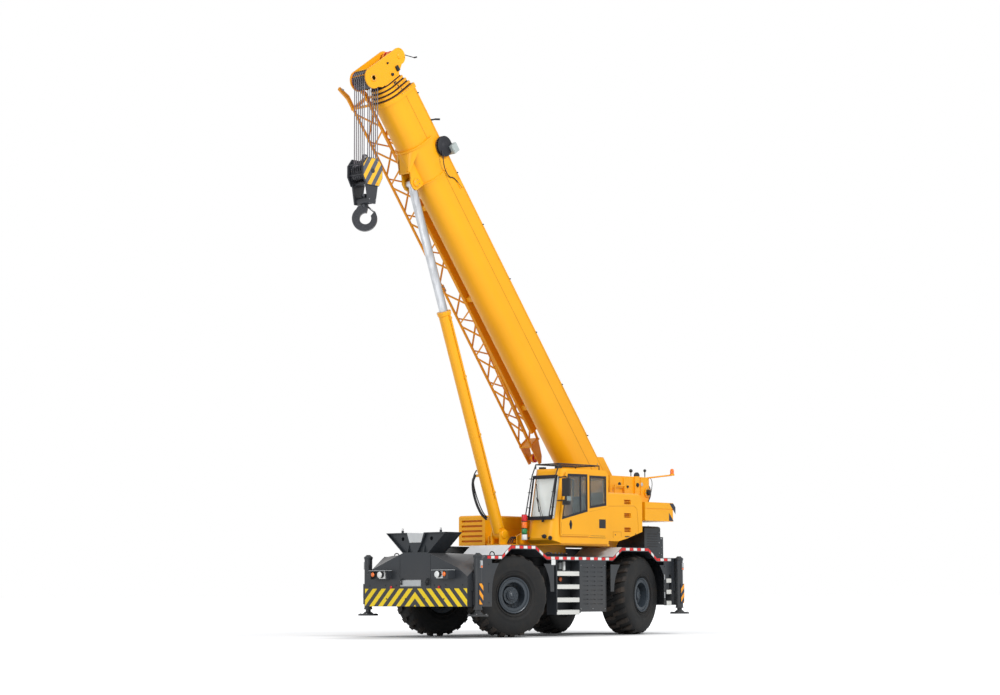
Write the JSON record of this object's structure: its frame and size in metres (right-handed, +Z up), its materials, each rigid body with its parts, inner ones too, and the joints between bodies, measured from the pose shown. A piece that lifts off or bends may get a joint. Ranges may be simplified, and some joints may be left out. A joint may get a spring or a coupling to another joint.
{
  "type": "mobile crane",
  "caption": "Two-axle rough-terrain mobile crane with a five-section boom, stowed lattice jib and hook block",
  "frame": {"origin": "On the ground under the middle of the crane's overall box, between the wheels", "axes": "+X forward, +Y to the crane's left, +Z up"},
  "size_m": [9.7931, 3.8998, 13.2177],
  "materials": {
    "yellow_paint": "gloss",
    "carrier_paint": "satin",
    "white_paint": "satin",
    "engine_paint": "satin",
    "steel": "satin",
    "polished_rod": "polished",
    "wire_rope": "satin",
    "black_iron": "satin",
    "glass": "gloss",
    "black_plastic": "matte",
    "tyre_rubber": "matte"
  },
  "bodies": {
    "carrier": {"carrier_frame": "carrier_paint", "fender_decks": "carrier_paint", "steps": "white_paint", "axle_beams": "carrier_paint", "outrigger_boxes": "carrier_paint", "tow_eyes": "carrier_paint", "boom_rest": "carrier_paint", "engine": "engine_paint", "rear_hood": "carrier_paint"},
    "superstructure": {"turntable": "yellow_paint", "counterweight": "yellow_paint", "winch_frame": "yellow_paint", "side_hoods": "yellow_paint", "cab_body": "yellow_paint", "cab_frame": "yellow_paint", "cab_roof": "yellow_paint", "cab_glass": "glass", "cab_fittings": "black_plastic"},
    "winch": {"winch_drum": "wire_rope"},
    "door": {"cab_door": "yellow_paint", "door_glass": "glass"},
    "foot_pin": {"foot_pin": "steel"},
    "boom": {"boom_base": "yellow_paint", "lift_saddle": "yellow_paint", "jib_lattice": "yellow_paint", "jib_extension": "yellow_paint", "jib_brackets": "yellow_paint"},
    "section_2": {"boom_section_2": "yellow_paint"},
    "section_3": {"boom_section_3": "yellow_paint"},
    "section_4": {"boom_section_4": "yellow_paint"},
    "section_5": {"boom_section_5": "yellow_paint"},
    "head_sheaves": {"head_sheaves": "steel"},
    "falls": {"rope_falls": "wire_rope"},
    "hook_block": {"hook_block": "yellow_paint", "block_sheaves": "steel"},
    "hook": {"hook": "black_iron"},
    "cylinder_pin": {"cylinder_pin": "steel"},
    "barrel": {"cylinder_barrel": "yellow_paint"},
    "piston": {"cylinder_piston": "steel"},
    "rod": {"cylinder_rod": "polished_rod"},
    "knuckle_front_left": {"knuckle_front_left": "carrier_paint"},
    "wheel_front_left": {"tyre_front_left": "tyre_rubber", "rim_front_left": "carrier_paint"},
    "beam_front_left": {"beam_front_left": "carrier_paint"},
    "jack_front_left": {"jack_front_left": "carrier_paint"},
    "knuckle_front_right": {"knuckle_front_right": "carrier_paint"},
    "wheel_front_right": {"tyre_front_right": "tyre_rubber", "rim_front_right": "carrier_paint"},
    "beam_front_right": {"beam_front_right": "carrier_paint"},
    "jack_front_right": {"jack_front_right": "carrier_paint"},
    "knuckle_rear_left": {"knuckle_rear_left": "carrier_paint"},
    "wheel_rear_left": {"tyre_rear_left": "tyre_rubber", "rim_rear_left": "carrier_paint"},
    "beam_rear_left": {"beam_rear_left": "carrier_paint"},
    "jack_rear_left": {"jack_rear_left": "carrier_paint"},
    "knuckle_rear_right": {"knuckle_rear_right": "carrier_paint"},
    "wheel_rear_right": {"tyre_rear_right": "tyre_rubber", "rim_rear_right": "carrier_paint"},
    "beam_rear_right": {"beam_rear_right": "carrier_paint"},
    "jack_rear_right": {"jack_rear_right": "carrier_paint"}
  },
  "joints": [
    {"name": "steer_front_left", "type": "hinge", "parent": "carrier", "child": "knuckle_front_left", "pos_m": [1.209, 0.92, 0.935], "axis": [0, 0, 1], "range_deg": [-14, 46]},
    {"name": "roll_front_left", "type": "hinge", "parent": "knuckle_front_left", "child": "wheel_front_left", "pos_m": [1.28618, 1.18915, 0.935], "axis": [0.2756, 0.9613, 0], "continuous": true},
    {"name": "extend_front_left", "type": "slide", "parent": "carrier", "child": "beam_front_left", "axis": [0, 1, 0], "range_m": [0, 1.95]},
    {"name": "lower_front_left", "type": "slide", "parent": "beam_front_left", "child": "jack_front_left", "axis": [0, 0, -1], "range_m": [0, 0.48]},
    {"name": "steer_front_right", "type": "hinge", "parent": "carrier", "child": "knuckle_front_right", "pos_m": [1.209, -0.92, 0.935], "axis": [0, 0, 1], "range_deg": [-14, 46]},
    {"name": "roll_front_right", "type": "hinge", "parent": "knuckle_front_right", "child": "wheel_front_right", "pos_m": [1.13182, -1.18915, 0.935], "axis": [0.2756, 0.9613, 0], "continuous": true},
    {"name": "extend_front_right", "type": "slide", "parent": "carrier", "child": "beam_front_right", "axis": [0, -1, 0], "range_m": [0, 1.95]},
    {"name": "lower_front_right", "type": "slide", "parent": "beam_front_right", "child": "jack_front_right", "axis": [0, 0, -1], "range_m": [0, 0.48]},
    {"name": "steer_rear_left", "type": "hinge", "parent": "carrier", "child": "knuckle_rear_left", "pos_m": [-3.003, 0.92, 0.935], "axis": [0, 0, 1], "range_deg": [-43, 17]},
    {"name": "roll_rear_left", "type": "hinge", "parent": "knuckle_rear_left", "child": "wheel_rear_left", "pos_m": [-3.06599, 1.19282, 0.935], "axis": [-0.225, 0.9744, 0], "continuous": true},
    {"name": "extend_rear_left", "type": "slide", "parent": "carrier", "child": "beam_rear_left", "axis": [0, 1, 0], "range_m": [0, 1.95]},
    {"name": "lower_rear_left", "type": "slide", "parent": "beam_rear_left", "child": "jack_rear_left", "axis": [0, 0, -1], "range_m": [0, 0.48]},
    {"name": "steer_rear_right", "type": "hinge", "parent": "carrier", "child": "knuckle_rear_right", "pos_m": [-3.003, -0.92, 0.935], "axis": [0, 0, 1], "range_deg": [-43, 17]},
    {"name": "roll_rear_right", "type": "hinge", "parent": "knuckle_rear_right", "child": "wheel_rear_right", "pos_m": [-2.94001, -1.19282, 0.935], "axis": [-0.225, 0.9744, 0], "continuous": true},
    {"name": "extend_rear_right", "type": "slide", "parent": "carrier", "child": "beam_rear_right", "axis": [0, -1, 0], "range_m": [0, 1.95]},
    {"name": "lower_rear_right", "type": "slide", "parent": "beam_rear_right", "child": "jack_rear_right", "axis": [0, 0, -1], "range_m": [0, 0.48]},
    {"name": "slew", "type": "hinge", "parent": "carrier", "child": "superstructure", "pos_m": [-1.047, 0, 1.9], "axis": [0, 0, 1], "continuous": true},
    {"name": "winch_turn", "type": "hinge", "parent": "superstructure", "child": "winch", "pos_m": [-4.257, 0, 3.43], "axis": [0, 1, 0], "continuous": true},
    {"name": "door_slide", "type": "slide", "parent": "superstructure", "child": "door", "axis": [-1, 0, 0], "range_m": [0, 0.65]},
    {"name": "boom_lower", "type": "hinge", "parent": "superstructure", "child": "foot_pin", "pos_m": [-3.317, 0, 3.03], "axis": [0, -1, 0], "range_deg": [-53, 0]},
    {"name": "boom_raise", "type": "hinge", "parent": "foot_pin", "child": "boom", "pos_m": [-3.317, 0, 3.03], "axis": [0, -1, 0], "range_deg": [0, 20]},
    {"name": "extend_section_2", "type": "slide", "parent": "boom", "child": "section_2", "axis": [0.6157, 0, 0.788], "range_m": [0, 8]},
    {"name": "extend_section_3", "type": "slide", "parent": "section_2", "child": "section_3", "axis": [0.6157, 0, 0.788], "range_m": [0, 8]},
    {"name": "extend_section_4", "type": "slide", "parent": "section_3", "child": "section_4", "axis": [0.6157, 0, 0.788], "range_m": [0, 8]},
    {"name": "extend_section_5", "type": "slide", "parent": "section_4", "child": "section_5", "axis": [0.6157, 0, 0.788], "range_m": [0, 8]},
    {"name": "head_level_low", "type": "hinge", "parent": "section_5", "child": "head_sheaves", "pos_m": [4.59608, 0, 12.38675], "axis": [0, -1, 0], "range_deg": [0, 53]},
    {"name": "head_level_high", "type": "hinge", "parent": "head_sheaves", "child": "falls", "pos_m": [4.59608, 0, 12.38675], "axis": [0, -1, 0], "range_deg": [-20, 0]},
    {"name": "hoist", "type": "slide", "parent": "falls", "child": "hook_block", "axis": [0, 0, 1], "range_m": [-8.9, 1.2], "deforming": ["rope_falls"]},
    {"name": "hook_swivel", "type": "hinge", "parent": "hook_block", "child": "hook", "pos_m": [4.59608, 0, 9.69], "axis": [0, 0, 1], "continuous": true},
    {"name": "cylinder_tilt_low", "type": "hinge", "parent": "superstructure", "child": "cylinder_pin", "pos_m": [0.203, 0, 2.34], "axis": [0, -1, 0], "range_deg": [-70.83, 0]},
    {"name": "cylinder_tilt_high", "type": "hinge", "parent": "cylinder_pin", "child": "barrel", "pos_m": [0.203, 0, 2.34], "axis": [0, -1, 0], "range_deg": [0, 19.91]},
    {"name": "cylinder_stroke_low", "type": "slide", "parent": "barrel", "child": "piston", "axis": [0.3471, 0, 0.9378], "range_m": [-2.30689, 0]},
    {"name": "cylinder_stroke_high", "type": "slide", "parent": "piston", "child": "rod", "axis": [0.3471, 0, 0.9378], "range_m": [0, 1.24665]}
  ],
  "couplings": [
    {"joint": "steer_front_right", "follows": "steer_front_left", "ratio": 1},
    {"joint": "steer_rear_right", "follows": "steer_rear_left", "ratio": 1},
    {"joint": "extend_section_3", "follows": "extend_section_2", "ratio": 1},
    {"joint": "extend_section_4", "follows": "extend_section_2", "ratio": 1},
    {"joint": "extend_section_5", "follows": "extend_section_2", "ratio": 1},
    {"joint": "head_level_low", "follows": "boom_lower", "ratio": -1},
    {"joint": "head_level_high", "follows": "boom_raise", "ratio": -1},
    {"joint": "cylinder_tilt_low", "follows": "boom_lower", "ratio": 1.3361},
    {"joint": "cylinder_tilt_high", "follows": "boom_raise", "ratio": 0.99498},
    {"joint": "cylinder_stroke_low", "follows": "boom_lower", "m_per_rad": 2.4928},
    {"joint": "cylinder_stroke_high", "follows": "boom_raise", "m_per_rad": 3.5685}
  ]
}
